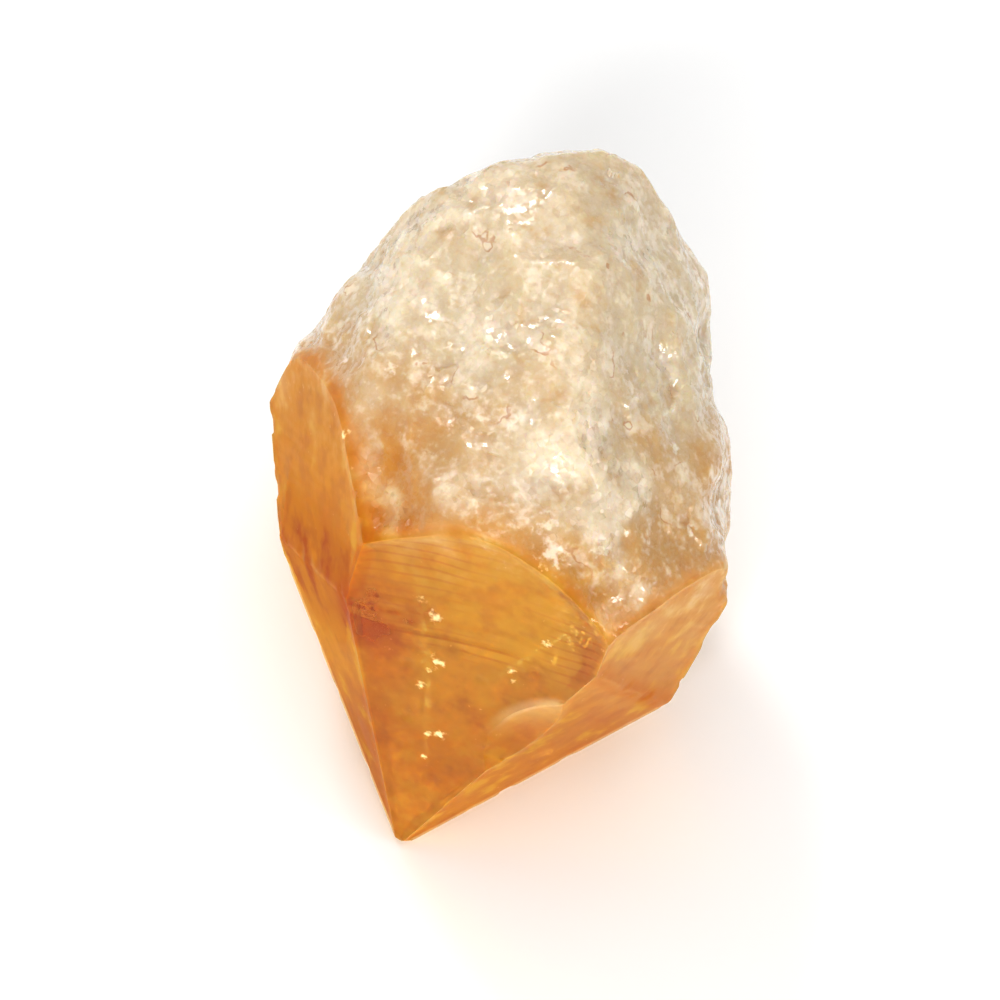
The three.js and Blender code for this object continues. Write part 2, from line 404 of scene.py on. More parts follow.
# %% [markdown]
# ## Put the relief on the skin
# Growth faces sink straight in along their own normals, so they stay flat between their marks.
# The broken skin sinks along the rays, so its lumps run on over the old ridges without a seam.
# Both fade to nothing where a growth face ends, except for small nicks along the ridges.

# %% Sink the skin by its relief
EDGE_FADE, BREAK_FADE = 0.45, 0.9
BREAK_RISE = 0.5  # the lumps are dug from a skin raised by this much
NICK_DEPTH, NICK_SIZE, NICK_WIDTH = 0.11, 0.9, 0.3
NICK_FREE_TIP = (0.5, 2)  # nicks begin at this height, so that the tip stays sharp
SAFE = 0.02  # the whole skin stays this far inside its measured size
ordered = np.sort(beyond, -1)
margin = ordered[..., -1] - ordered[..., -2]  # distance to the nearest ridge, roughly
face = beyond.argmax(-1)
_, direction = ray(rows, columns)
facing = np.concatenate([NORMALS[:BROKEN], np.zeros((2, 3))])[face]
facing = np.where((face == CHIP)[..., None], (CHIP_MIDDLE - skin) / CHIP_RADIUS, facing)
grown_depth = growth_relief(skin, face) * ease(0, EDGE_FADE, margin)
broken_depth = (broken_relief(skin) - BREAK_RISE) * ease(0, BREAK_FADE, margin)
nicks = (NICK_DEPTH * ease(0.6, 0.8, soft_noise(skin, NICK_SIZE, 31))
         * (1 - ease(0, NICK_WIDTH, margin)) * ease(*NICK_FREE_TIP, skin[..., 1]))
relief = np.where((face == BROKEN)[..., None], direction * broken_depth[..., None],
                  facing * grown_depth[..., None])
surface = skin - relief - direction * (nicks + SAFE)[..., None]
print("deepest relief in mm:", round(float(np.linalg.norm(surface - skin, axis=-1).max()), 2))

# %% [markdown]
# ## From crystal axes to the lying stone
# The stone is turned about the x axis by its face slope and moved so that the box of its bare
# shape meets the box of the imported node. Then it is in the shared frame, in metres.

# %% Place everything in the frame
SHARP_ROUNDING = 0.002  # almost none: the sharp bare shape
node_low, node_high = (np.array(corner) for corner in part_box("crystal_point"))
slope = math.radians(FACE_SLOPE)
TURN = np.array([[1, 0, 0], [0, math.cos(slope), -math.sin(slope)],
                 [0, math.sin(slope), math.cos(slope)]])
sharp = leave(rows, columns, SHARP_ROUNDING)
bare = (sharp.reshape(-1, 3) * MM) @ TURN.T
low, high = bare.min(0), bare.max(0)
SHIFT = np.array([*((node_low + node_high) / 2 - (low + high) / 2)[:2], node_low[2] - low[2]])
print("bare box in mm:", np.round((high - low) * 1000, 2).tolist(), "packed node:",
      np.round((node_high - node_low) * 1000, 2).tolist())


def in_frame(place):
    """Crystal axes in millimetres to the frame in metres."""
    return (place * MM) @ TURN.T + SHIFT


# %% [markdown]
# ## The mesh of the skin
# Each grid square is cut into two triangles, along the diagonal that runs closer to the true
# surface, so that a ridge that crosses squares aslant is followed too. The first and the last
# row are single points, closed by fans. An object made from a finished array needs no modifier.

# %% Build the triangles
def as_mesh(name, vertices, faces):
    """A mesh object from arrays of vertices in metres and of faces."""
    mesh = bpy.data.meshes.new(name)
    mesh.from_pydata(vertices.tolist(), [], faces.tolist())
    mesh.update()
    piece = bpy.data.objects.new(name, mesh)
    bpy.context.scene.collection.objects.link(piece)
    return piece


def grid_faces(count_rows, count_columns, flip):
    """Two triangles for each square of a grid that closes round its columns. flip marks the
    squares that are cut along the other diagonal."""
    here = np.arange(count_rows * count_columns).reshape(count_rows, count_columns)
    a, b = here[:-1], np.roll(here, -1, 1)[:-1]
    d, c = here[1:], np.roll(here, -1, 1)[1:]
    first = np.where(flip[..., None], np.stack([a, d, b], -1), np.stack([a, d, c], -1))
    second = np.where(flip[..., None], np.stack([b, d, c], -1), np.stack([a, c, b], -1))
    return np.concatenate([first.reshape(-1, 3), second.reshape(-1, 3)])


def closed_mesh(name, grid, flip):
    """A closed surface from a grid whose first and last rows are drawn together to points."""
    inner = grid[1:-1]
    faces = grid_faces(*inner.shape[:2], flip[1:-1])
    count = inner.shape[0] * inner.shape[1]
    first = np.arange(inner.shape[1])
    last = first + count - inner.shape[1]
    start_fan = np.stack([np.full_like(first, count), first, np.roll(first, -1)], -1)
    end_fan = np.stack([np.full_like(first, count + 1), np.roll(last, -1), last], -1)
    poles = np.stack([grid[0].mean(0), grid[-1].mean(0)])
    vertices = np.concatenate([inner.reshape(-1, 3), poles])
    return as_mesh(name, in_frame(vertices), np.concatenate([faces, start_fan, end_fan]))


def off_surface(first, second):
    """How far the middle of a straight line between two vertices is from the bare surface."""
    return np.abs(outside((first + second) / 2).max(-1))


following = np.roll(skin, -1, 1)
flip = off_surface(skin[:-1], following[1:]) > off_surface(skin[1:], following[:-1])
crystal = closed_mesh("citrine_crystal", surface, flip)
print("crystal triangles:", len(crystal.data.polygons))

# %% [markdown]
# ## What the skin knows about itself
# Rust creeps in from a ridge, frost covers one face and not the next, a spot is crushed where
# another stone struck it, and pale highlights are painted along some ridges and over the chip. A
# finish can't find a ridge or a face by its place alone, so those marks are worked out here, from
# the flats, and kept as a number at each vertex.

# %% Marks along ridges and round spots
RIDGE_CORE = 0.25  # the share of a mark's width that has its full strength


def give_attribute(piece, name, grid):
    """A number for each vertex of a closed mesh, from a grid of the same rows and columns."""
    values = np.concatenate([grid[1:-1].ravel(), [grid[0].mean(), grid[-1].mean()]])
    attribute = piece.data.attributes.new(name, "FLOAT", "POINT")
    attribute.data.foreach_set("value", values.astype(np.float32))
    print(name, "from", round(float(values.min()), 2), "to", round(float(values.max()), 2))


def beside(first, second, width, strength=1.0):
    """A strength along the ridge between two faces, falling to 0 at a width on both sides."""
    ranked = np.argsort(beyond, -1)[..., -2:]
    meets = (ranked.min(-1) == min(first, second)) & (ranked.max(-1) == max(first, second))
    return strength * np.where(meets, 1 - ease(RIDGE_CORE * width, width, margin), 0)


def near_marks(place, marks):
    """For round marks given by middle and radius: 1 in the middle, falling evenly to 0 at the
    radius, and the largest where they overlap."""
    nearness = np.zeros(place.shape[:-1])
    for middle, radius in marks:
        distance = np.linalg.norm(place - middle, axis=-1)
        nearness = np.maximum(nearness, 1 - distance / radius)
    return nearness


# %% [markdown]
# ## Frost, rust, painted highlights and bruises
# Fine etching dulls the side faces, while the upper face stays clear. Iron stains the shoulder
# ridges brown. Along two thin ridges, the upper edge of the chip and the chip itself, a pale
# painted highlight stands in for the glint of light leaving the stone there. The bruises are
# listed one by one; their white is crushed quartz and partly a painted glint. Normals are smooth,
# except across corners sharper than a set angle, which keeps ridges and grains crisp.

# %% Give the marks to the skin
SHARP_ANGLE = math.radians(24)
FROST = [0.0, 0.5, 0.55, 0.3, 0.3, 0.3, 0.45, 0.45, 0.45, 0.45,  # of each growth face,
         0.3, 0.1]  # of the broken skin, and of the chip
RIDGE_FROST_START, RIDGE_FROST_WIDTH = 0.5, 0.3  # a ridge has half the frost of its faces
FRAY_LEAST, FRAY_MORE, FRAY_SIZE = 0.06, 0.8, 1.4  # how raggedly the broken skin begins, in mm
STAINED_RIDGES = [(LEFT, SHOULDER_LEFT, 1.7, 1.0), (RIGHT, SHOULDER_RIGHT, 0.35, 0.7),
                  (UPPER, SHOULDER_LEFT, 0.7, 1.0)]
# painted highlight: a pale colour laid along these ridges, where light glints
PAINTED_HIGHLIGHT_RIDGES = [(LEFT, LOWER_LEFT, 0.36, 0.8), (RIGHT, LOWER_RIGHT, 0.3, 0.5)]
# painted highlight along the chip's upper edge and over the chip, growing up the chip
CHIP_HIGHLIGHT_WIDTH, CHIP_HIGHLIGHT_STRENGTH, CHIP_GLOW_STRENGTH = 0.34, 0.8, 0.3
CHIP_HIGHLIGHT_START, CHIP_GLOW_START = (8, 10.5), (7.5, 11)  # both grow stronger up the chip
# crushed white spots, whose white is partly a painted glint
BRUISE_AND_GLINT_SPOTS = [  # middle and radius
    ((-2.1, 13.7, 10.8), 0.5), ((-1.3, 13.1, 10.3), 0.62), ((-0.6, 10.9, 8.6), 0.62),
    ((-0.75, 10.3, 8.1), 0.42), ((-1.0, 9.35, 7.35), 0.5), ((2.9, 11.9, 9.35), 0.42),
    ((3.3, 11.4, 9.0), 0.36), ((4.2, 14.0, 11.0), 0.45), ((0.5, 7.1, 5.55), 0.5),
    ((0.0, 6.9, 5.4), 0.36), ((0.0, 5.6, 4.4), 0.36), ((5.3, 19.5, 12.2), 1.2),
    ((3.1, 18.5, 13.6), 1.2), ((2.4, 19.5, 13.2), 0.9), ((-8.4, 19.5, 9.9), 0.6),
    ((-7.5, 23.3, 9.9), 0.55), ((-10.0, 22.5, 7.5), 0.5), ((6.3, 24.3, 6.5), 0.55),
    ((8.5, 20.9, 7.0), 0.5), ((-2.7, 26.0, 10.8), 0.55), ((2.9, 23.4, 10.6), 0.6),
]
up_crystal = skin[..., 1]
ragged = FRAY_LEAST + FRAY_MORE * soft_noise(skin, FRAY_SIZE, 61)
ridge_frost = RIDGE_FROST_START + (1 - RIDGE_FROST_START) * ease(0, RIDGE_FROST_WIDTH, margin)
# the painted highlight of ridges and chip, as a strength from 0 to 1
chip_painted_highlight = beside(UPPER, CHIP, CHIP_HIGHLIGHT_WIDTH, CHIP_HIGHLIGHT_STRENGTH) * ease(*CHIP_HIGHLIGHT_START, up_crystal)
painted_highlight = np.max([beside(*ridge) for ridge in PAINTED_HIGHLIGHT_RIDGES] + [chip_painted_highlight], axis=0)
chip_painted_glow = np.where(face == CHIP, CHIP_GLOW_STRENGTH * ease(*CHIP_GLOW_START, up_crystal), 0)
give_attribute(crystal, "frost", np.array(FROST)[face] * ridge_frost)
give_attribute(crystal, "painted_highlight", np.maximum(painted_highlight, chip_painted_glow))
give_attribute(crystal, "growth", np.where(face == UPPER, ease(0, 0.5, margin), 0))
give_attribute(crystal, "level", terrace_level(skin))
give_attribute(crystal, "near_bruise_and_glint", near_marks(skin, BRUISE_AND_GLINT_SPOTS))
give_attribute(crystal, "broken", np.where(face == BROKEN, ease(0, 1, margin / ragged), 0))
give_attribute(crystal, "stained", np.max([beside(*ridge) for ridge in STAINED_RIDGES], axis=0))
crystal.data.shade_smooth()
crystal.data.set_sharp_from_angle(angle=SHARP_ANGLE)
print("sharp edges:", sum(e.use_edge_sharp for e in crystal.data.edges))

# %% [markdown]
# ## Shader maths as expressions
# A finish is a net of nodes, and long nets are hard to read. Here a wire stands for one output
# of a node, and ordinary arithmetic on wires adds the Math nodes.

# %% A wire and its arithmetic
class Wire:
    """One output of a node. +, -, *, / and abs add Math nodes."""

    def __init__(self, tree, socket):
        self.tree, self.socket = tree, socket

    def node(self, kind, settings=None, inputs=None, output=0):
        """Add a node of any kind. Its settings are set first, then its sockets, by name or by
        number, take wires or plain values. Returns a wire on one of its outputs."""
        made = self.tree.nodes.new("ShaderNode" + kind)
        for name, value in (settings or {}).items():
            setattr(made, name, value)
        for name, value in (inputs or {}).items():
            if isinstance(value, Wire):
                self.tree.links.new(value.socket, made.inputs[name])
            else:
                made.inputs[name].default_value = value
        return Wire(self.tree, made.outputs[output] if len(made.outputs) else None)

    def math(self, operation, *values):
        return self.node("Math", {"operation": operation}, dict(enumerate(values)))

    def __add__(self, other):
        return self.math("ADD", self, other)

    def __sub__(self, other):
        return self.math("SUBTRACT", self, other)

    def __rsub__(self, other):
        return self.math("SUBTRACT", other, self)

    def __neg__(self):
        return 0 - self

    def __mul__(self, other):
        return self.math("MULTIPLY", self, other)

    def __truediv__(self, other):
        return self.math("DIVIDE", self, other)

    def __abs__(self):
        return self.math("ABSOLUTE", self)

    __radd__ = __add__
    __rmul__ = __mul__


# %% Steps, noises and colours
def step(low, high, value):
    """Smooth step from 0 at low to 1 at high."""
    return value.node("MapRange", {"interpolation_type": "SMOOTHSTEP"},
                      {"Value": value, "From Min": low, "From Max": high})


def fraction(value):
    """What is left of a number above the whole number below it."""
    return value.math("FRACT", value)


def vectors(operation, first, second=None, output="Vector"):
    """Vector Math on directions, places or colours; SCALE takes a number second."""
    inputs = {0: first}
    if second is not None:
        inputs["Scale" if operation == "SCALE" else 1] = second
    return first.node("VectorMath", {"operation": operation}, inputs, output)


def noise(place, size, detail=2.0):
    """Soft noise from 0 to 1, with lumps of about the given size."""
    return place.node("TexNoise", {}, {"Vector": place, "Scale": 1 / size, "Detail": detail},
                      "Fac")


def grain_colours(place, size):
    """A random colour for each grain of about the given size, round scattered seeds."""
    return place.node("TexVoronoi", {"feature": "F1"},
                      {"Vector": place, "Scale": 1 / size, "Randomness": 1.0}, "Color")


def blend(share, first, second):
    """A colour between two colours."""
    return share.node("Mix", {"data_type": "RGBA"}, {0: share, 6: first, 7: second}, 2)


def colour(red, green, blue):
    """A colour from its three screen values, 0 to 255, made linear."""
    values = np.array([red, green, blue]) / 255
    linear = np.where(values <= 0.04045, values / 12.92, ((values + 0.055) / 1.055) ** 2.4)
    return (*linear.tolist(), 1.0)


# %% [markdown]
# ## The crystal's finish
# Two finishes share the stone. Clear citrine lets light through, bends it, and soaks up blue on
# the way, which is what makes it amber. Milky quartz scatters light just under its skin. A mask
# blends them: mostly clear at the tip, wholly milky at the root. Colour changes by zone, and the
# zones are found in the crystal's own axes, so we turn the coordinates first.

# %% Materials in the crystal's own axes
def bare_material(name):
    """A new material with an empty net of nodes."""
    material = bpy.data.materials.new(name)
    material.use_nodes = True
    material.node_tree.nodes.clear()
    return material


def crystal_axes(material):
    """Object coordinates turned back into the crystal's axes, in millimetres."""
    tree = material.node_tree
    place = Wire(tree, tree.nodes.new("ShaderNodeTexCoord").outputs["Object"])
    back = -(TURN.T @ SHIFT) / MM
    return place.node("Mapping", {}, {"Vector": place, "Location": back.tolist(),
                                      "Rotation": (-slope, 0, 0), "Scale": (1 / MM,) * 3})


def axes(place):
    """The three numbers of a place: right, along the crystal from the tip, and front."""
    parts = place.node("SeparateXYZ", {}, {"Vector": place})
    return [Wire(place.tree, parts.socket.node.outputs[name]) for name in "XYZ"]


citrine = bare_material("citrine")
place = crystal_axes(citrine)
x, height, _ = axes(place)
broken, stained, growth, level, near_bruise_and_glint, frost, painted_highlight = (
    place.node("Attribute", {"attribute_name": name}, {}, "Fac")
    for name in ("broken", "stained", "growth", "level", "near_bruise_and_glint", "frost", "painted_highlight"))
drift = noise(place, 5.0) - 0.5
lumps = noise(place, 1.6, 3.0) - 0.5
fine = noise(place, 0.35)
print("wires to work with:", len(citrine.node_tree.nodes), "nodes")

# %% [markdown]
# ## Zones
# The colour of a citrine point lies in soft zones: an orange tip, honey above it, a red-brown
# ember at one corner, a rosy right side and a pale root. A zone could be painted by hand, but a
# smooth step along one axis, pushed about by noise, gives the same wandering border in one line.

# %% Find the zones
FAR_LEFT, LEFT_SIDE = (-6.0, -2.0), (-3.5, 0.8)  # from, to: across the crystal, in mm
ROSE_SIDE, RIGHT_SIDE = (2.5, 7.5), (6.0, 11.0)
ROOT_START = (13.5, 20.5)  # from, to: along it
EMBER_REACH = (0.3, 3.4)
EMBER_FROM_CORNER = [0.9, -0.9, -0.3]

left_corner = np.linalg.solve(NORMALS[[UPPER, LEFT, SHOULDER_LEFT]],
                              OFFSETS[[UPPER, LEFT, SHOULDER_LEFT]])
print("left corner of the upper face:", np.round(left_corner, 2).tolist())
to_ember = vectors("DISTANCE", place, (left_corner + EMBER_FROM_CORNER).tolist(), "Value")
ember = 1 - step(*EMBER_REACH, to_ember + lumps * 3)
far_left = 1 - step(*FAR_LEFT, x + drift * 3)
to_left = 1 - step(*LEFT_SIDE, x + drift * 4)
to_right = step(*RIGHT_SIDE, x)
rose = step(*ROSE_SIDE, x + drift * 4 - height * 0.1 + 1)
root = step(*ROOT_START, height + drift * 4 + lumps * 3 - far_left * 2.6)

# %% [markdown]
# ## Amber of the growth faces
# Each zone is laid over the last, as a painter glazes: orange to honey up the crystal,
# deeper amber to the left and where a face is frosted, rose to the right, straw on the far left,
# then patches of honey and iron. Ember, rust stain and the painted highlights of the bright
# ridges cover the rest, so they come last.

# %% Glaze the amber
TIP_ORANGE = colour(222, 152, 6)
HONEY = colour(216, 174, 50)
DEEP_AMBER = colour(182, 104, 6)
EMBER = colour(166, 60, 0)
STRAW = colour(206, 136, 18)
ROSE = colour(204, 144, 76)
DEEP_ROSE = colour(178, 108, 36)
IRON_STAIN = colour(172, 84, 12)
# painted highlight: the pale colour of light glinting on thin ridges
PAINTED_HIGHLIGHT_COLOUR = colour(255, 226, 170)

body_colour = blend(step(5, 12, height + drift * 6), TIP_ORANGE, HONEY)
body_colour = blend(frost * 1.4 + to_left * 0.4, body_colour, DEEP_AMBER)
body_colour = blend(rose * 0.8, body_colour, blend(step(9, 14, height), DEEP_ROSE, ROSE))
body_colour = blend(far_left * step(4, 9, height), body_colour, STRAW)
mottle = lumps + drift * 0.6
body_colour = blend(step(0.02, 0.2, mottle) * 0.4, body_colour, HONEY)
body_colour = blend(step(0.02, 0.2, -mottle) * 0.3, body_colour, IRON_STAIN)
body_colour = blend(ember * 0.9, body_colour, EMBER)
body_colour = blend(stained * (0.55 + lumps * 2.5), body_colour, IRON_STAIN)
# painted highlight along the bright ridges and at the chip
body_colour = blend(painted_highlight * 0.85, body_colour, PAINTED_HIGHLIGHT_COLOUR)
print("amber:", len(citrine.node_tree.nodes), "nodes")

# %% [markdown]
# ## Milk of the root
# Milky quartz is white because tiny bubbles fill it, and no two spots hold as many. Clouds of
# snow white and hollows of blush, in two sizes, give it depth. Where a noise passes through its
# middle value it draws a thin wandering line, which stands here for a rusty crack.

# %% Cloud the root
MILK = colour(209, 192, 164)
BLUSH = colour(198, 160, 110)
SNOW = colour(240, 228, 208)
RUST = colour(176, 112, 62)

root_colour = blend(step(17, 27, height + drift * 24 - to_right * 8), BLUSH, MILK)
root_colour = blend(step(-0.02, 0.22, drift + lumps * 0.5) * 0.5, root_colour, SNOW)
root_colour = blend(step(0.0, 0.2, lumps + fine * 0.3 - 0.15) * 0.45, root_colour, SNOW)
root_colour = blend(step(0.06, 0.24, -lumps) * 0.5, root_colour, BLUSH)
root_colour = blend(step(0.52, 0.76, fine) * 0.28, root_colour, SNOW)
root_colour = blend((1 - step(0.26, 0.42, fine)) * 0.2, root_colour, BLUSH)
on_contour = 1 - step(0.003, 0.012, abs(drift + lumps * 0.35))
crack = on_contour * step(0.06, 0.14, lumps)
root_colour = blend(crack * 0.5, root_colour, RUST)
print("root:", len(citrine.node_tree.nodes), "nodes")

# %% [markdown]
# ## Growth lines
# A crystal grows in thin layers, and their edges show as fine dark lines below the arched edge
# of the upper face. They follow the same level as the terraces in the mesh, so the lines and the
# relief agree. The fraction of level over spacing repeats from 0 to 1, and its middle is a line.

# %% Draw the growth lines
LINE_SPACING = 0.42
LINE_START = (11.4, 12.6)  # the lowest level that has lines

beat = fraction(level / LINE_SPACING)
line = 1 - step(0.06, 0.2, abs(beat - 0.5))
line = line * growth * step(*LINE_START, level + lumps * 3) * step(-0.12, 0.1, drift + lumps * 0.3)
body_colour = blend(line * 0.4, body_colour, EMBER)
milkiness = root * (0.45 + 0.55 * broken)
cloud_colour = blend(milkiness, body_colour, root_colour)
print("growth lines:", LINE_SPACING, "mm apart")

# %% [markdown]
# ## Bruises and painted glints
# Where stone has struck stone, quartz crushes to a white spot that sparkles. The white laid on
# these spots is partly that crushed quartz and partly a painted glint. Round spots would look
# stamped, so fine noise is added to the nearness of each mark before the step, and it eats into
# the outline.

# %% Whiten the bruises and paint their glints
PAINTED_GLINT_WHITE = colour(255, 238, 196)

# the bruise white: crushed quartz, and partly a painted glint laid into the colour
bruise_and_glint = step(0.3, 0.8, near_bruise_and_glint * 0.8 + (fine - 0.5) * 1.5) * 0.85
cloud_colour = blend(bruise_and_glint, cloud_colour, blend(broken, PAINTED_GLINT_WHITE, SNOW))
print("bruises:", len(BRUISE_AND_GLINT_SPOTS))

# %% [markdown]
# ## Sparkling grains
# A sugary break glitters because each grain faces its own way. Grains this small would need
# millions of triangles, so the surface's normal is tilted instead, by a random colour that is
# the same all over one grain. A faint bump of fine noise roughens the break as well, and hardly
# touches the growth faces.

# %% Tilt the grains
GRAIN_SIZE = 0.34
BUMP_DEPTH = 0.00008  # in metres

sugar = grain_colours(place, GRAIN_SIZE)
gather = (step(-0.05, 0.15, drift) * 0.6 + 0.15) * broken + 0.02 + bruise_and_glint * 0.6
tilt = vectors("SCALE", vectors("SUBTRACT", sugar, (0.5, 0.5, 0.5)), gather)
flat = place.node("NewGeometry", {}, {}, "Normal")
tilted = vectors("NORMALIZE", vectors("ADD", flat, tilt))
bump = place.node("Bump", {}, {"Strength": 0.4, "Distance": BUMP_DEPTH, "Normal": tilted,
                               "Height": fine * (0.05 + broken)}, "Normal")
print("grains:", GRAIN_SIZE, "mm across")

# %% [markdown]
# ## Two shaders and the mask between them
# Clear quartz bends light and mirrors a little; lamplight passes its shadow as through tinted
# glass, or the inside would be dark. Milk is light scattered under the skin, with a wet gloss on
# some grains. The haze mask mixes them. It is weaker on the inner side of the skin, because
# light on its way out of the stone would otherwise be caught there and lost.

# %% Mix clear and milky quartz
QUARTZ_IOR = 1.545
CLEAR_AMBER, CLEAR_MILKY = (0.79, 0.68, 0.26, 1), (0.88, 0.84, 0.72, 1)  # tints of the clear finish
LAMP_TINT = (1.0, 0.9, 0.62, 1)
PASSING_COLOUR, SOAK_DENSITY = (0.98, 0.78, 0.12, 1), 110.0  # the density is per metre
INNER_HAZE_LOSS = 0.65

haze = 0.36 + 0.6 * milkiness + lumps * 0.3 + broken * 0.15 + frost + bruise_and_glint + stained * 0.3
inner_side = place.node("NewGeometry", {}, {}, "Backfacing")
haze = haze * (1 - INNER_HAZE_LOSS * inner_side)
glass = place.node("BsdfPrincipled", {}, {
    "Base Color": blend(milkiness, CLEAR_AMBER, CLEAR_MILKY),
    "Roughness": 0.03, "IOR": QUARTZ_IOR, "Transmission Weight": 1.0, "Normal": bump})
lamplight = glass.node("BsdfTransparent", {}, {"Color": LAMP_TINT})
shadow_ray = place.node("LightPath", {}, {}, "Is Shadow Ray")
clear = place.node("MixShader", {}, {0: shadow_ray, 1: glass, 2: lamplight}, "Shader")
milky = place.node("BsdfPrincipled", {}, {
    "Base Color": cloud_colour, "Roughness": 0.75 - broken * (0.62 - 0.3 * fine),
    "IOR": QUARTZ_IOR, "Subsurface Weight": 0.8, "Subsurface Radius": (1.0, 0.66, 0.3),
    "Subsurface Scale": 0.003, "Specular IOR Level": 0.3, "Coat Roughness": 0.1,
    "Coat Weight": broken * step(0.42, 0.58, fine), "Coat IOR": QUARTZ_IOR, "Normal": bump})
both = place.node("MixShader", {}, {0: haze, 1: clear, 2: milky}, "Shader")
soak = place.node("VolumeAbsorption", {}, {"Color": PASSING_COLOUR, "Density": SOAK_DENSITY},
                  "Volume")
place.node("OutputMaterial", {}, {"Surface": both, "Volume": soak})
crystal.data.materials.append(citrine)
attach(crystal, "root")
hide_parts("crystal_point")
print("finish:", len(citrine.node_tree.nodes), "nodes")

# %% [markdown]
# ## Sealed-in sparkle
# Long ago the crystal cracked and healed again, and each healed crack is now a curved sheet of
# tiny gas-filled flecks. Seen through the clear tip they are its sparkles. A fleck is a flat
# six-sided lens of twelve faces, and one mesh holds all the flecks of a sheet.

# %% Scatter flecks over a curved sheet
FLECK_SIDES = 6
FLECK_THICKNESS = 0.14  # from the middle of a fleck to its pole, as a share of its radius
FLECK_SIZE_SPREAD, FLECK_TILT, FLECK_DRIFT = 0.45, 0.25, 0.06
FLECK_COVER = 0.3  # the least quartz over a fleck, in mm


def fleck_sheet(name, corner, along, across, count, radius, bend, seed):
    """Flecks on the sheet corner + u * along + v * across + bend * sin(pi u) * sin(pi v) * normal,
    at random u and v. Each fleck is a ring of six points and two poles, laid in the sheet with
    a small random tilt. Those too near the skin are left out."""
    random = np.random.default_rng(seed)
    u, v = random.random(count), random.beta(1.3, 1.6, count)
    along, across = np.array(along, float), np.array(across, float)
    normal = np.cross(along, across)
    normal /= np.linalg.norm(normal)
    swell = bend * np.sin(np.pi * u) * np.sin(np.pi * v) + random.normal(0, FLECK_DRIFT, count)
    middle = (np.array(corner, float) + u[:, None] * along + v[:, None] * across
              + swell[:, None] * normal)
    size = radius * np.exp(random.normal(0, FLECK_SIZE_SPREAD, count))
    facing = normal + random.normal(0, FLECK_TILT, (count, 3))
    deep_enough = outside(middle).max(-1) < -FLECK_COVER - size
    middle, size, facing = middle[deep_enough], size[deep_enough], facing[deep_enough]
    facing /= np.linalg.norm(facing, axis=-1)[:, None]
    side = np.cross(facing, along / np.linalg.norm(along))
    side /= np.linalg.norm(side, axis=-1)[:, None]
    other = np.cross(facing, side)
    turn = np.arange(FLECK_SIDES) / FLECK_SIDES * 2 * np.pi
    stretch = random.uniform(0.6, 1.0, (len(size), FLECK_SIDES))
    ring = ((np.cos(turn) * stretch)[..., None] * side[:, None]
            + (np.sin(turn) * stretch)[..., None] * other[:, None]) * size[:, None, None]
    thick = (facing * size[:, None] * FLECK_THICKNESS)[:, None]
    points = np.concatenate([ring, thick, -thick], 1) + middle[:, None]
    piece = as_mesh(name, in_frame(points.reshape(-1, 3)), fleck_faces(len(size)))
    print(name, "flecks:", len(size))
    return piece


def fleck_faces(count):
    """Two fans of triangles for each fleck, from its ring to its poles, with their faces out."""
    a = np.arange(FLECK_SIDES)
    b = np.roll(a, -1)
    top = np.stack([a, b, np.full_like(a, FLECK_SIDES)], -1)
    bottom = np.stack([b, a, np.full_like(a, FLECK_SIDES + 1)], -1)
    first_points = (np.arange(count) * (FLECK_SIDES + 2))[:, None, None]
    return (np.concatenate([top, bottom]) + first_points).reshape(-1, 3)


# %% [markdown]
# ## The healed cracks
# Gas in quartz mirrors light at its skin, so a fleck reads as a pale, glossy spot rather than as
# a hole. Three sheets are listed: two in the clear tip and one under the right shoulder.

# %% Make the three sheets
SHEETS = [  # name, corner, along, across, count, radius, bend
    ("healed_crack_left", (-2.4, 14.0, 10.6), (2.6, -8.6, -6.6), (-0.6, 1.6, -3.8), 200, 0.12, 0.5),
    ("healed_crack_right", (1.9, 10.9, 8.0), (3.2, 4.4, 3.4), (0.9, 0.6, -3.0), 110, 0.1, 0.4),
    ("healed_crack_shoulder", (4.5, 14.0, 5.0), (3.6, 3.0, -2.0), (-0.6, 2.8, 3.4), 100, 0.1, 0.5),
]
FIRST_SEED = 5
gas = bare_material("gas_fleck_painted_reflection")
spot = crystal_axes(gas)
# painted reflection: a pale colour stands in for the light that each gas fleck mirrors
fleck_painted_reflection = blend(noise(spot, 0.5), colour(255, 236, 190), colour(255, 250, 238))
gas_shader = spot.node("BsdfPrincipled", {}, {
    "Base Color": fleck_painted_reflection, "Roughness": 0.15 + 0.2 * noise(spot, 0.3),
    "IOR": QUARTZ_IOR}, "BSDF")
spot.node("OutputMaterial", {}, {"Surface": gas_shader})
for seed, (name, *shape) in enumerate(SHEETS, FIRST_SEED):
    sheet = fleck_sheet(name, *shape, seed)
    sheet.data.materials.append(gas)
    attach(sheet, "root")

# %% [markdown]
# ## Floor
# The stone lies on a sheet of white paper. It is a plain grid, a hair below the stone so that the
# two never share a plane, and it isn't part of the object.

# %% Lay the floor
FLOOR_GAP = 0.00005
FLOOR_SIZE = 1.6
FLOOR_LINES = 9
edge = np.linspace(-FLOOR_SIZE / 2, FLOOR_SIZE / 2, FLOOR_LINES)
floor_x, floor_y = np.meshgrid(edge, edge)
floor_points = np.stack([floor_x, floor_y, np.full_like(floor_x, -FLOOR_GAP)], -1)
square = np.arange(FLOOR_LINES ** 2).reshape(FLOOR_LINES, FLOOR_LINES)
quads = np.stack([square[:-1, :-1], square[:-1, 1:], square[1:, 1:], square[1:, :-1]], -1)
floor = as_mesh("floor", floor_points.reshape(-1, 3), quads.reshape(-1, 4))
paper = bpy.data.materials.new("white_paper")
paper.use_nodes = True
paper_shader = paper.node_tree.nodes["Principled BSDF"]
paper_shader.inputs["Base Color"].default_value = (0.9, 0.9, 0.9, 1)
paper_shader.inputs["Roughness"].default_value = 0.8
